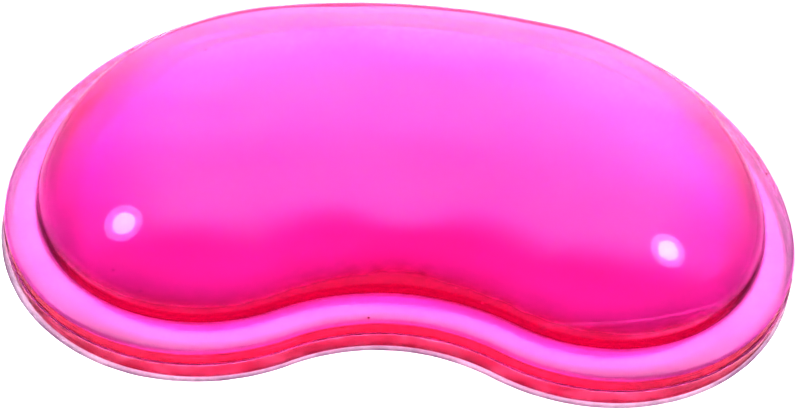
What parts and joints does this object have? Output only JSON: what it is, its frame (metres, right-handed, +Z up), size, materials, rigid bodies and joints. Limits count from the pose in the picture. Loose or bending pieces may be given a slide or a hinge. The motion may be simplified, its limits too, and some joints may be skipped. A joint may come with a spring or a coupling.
{
  "type": "wrist rest",
  "caption": "Kidney-shaped translucent gel wrist rest: a smooth dome on a flat brim, with a tacky base and a clear release film.",
  "frame": {"origin": "on the desk, under the middle of the pad's length and depth", "axes": "+X along the pad's length, -Y towards the hollow front edge and the user's forearm, +Z up"},
  "size_m": [0.147, 0.0964, 0.0194],
  "materials": {
    "clear_skin": "clear, glossy moulded film with a faint pink tint",
    "tinted_gel": "soft translucent hot-pink gel",
    "backing_film": "thin clear film with a trimmed edge",
    "tacky_gel": "tacky translucent pink gel",
    "release_film": "stiff clear glossy film"
  },
  "bodies": {
    "release_film": {"release_film": "release_film"},
    "pad": {"base_gel": "tacky_gel", "backing_film": "backing_film", "gel_core": "tinted_gel", "top_skin": "clear_skin"}
  },
  "joints": [
    {"name": "pad_lift", "type": "slide", "parent": "release_film", "child": "pad", "axis": [0, 0, 1], "range_m": [0, 0.03]}
  ]
}
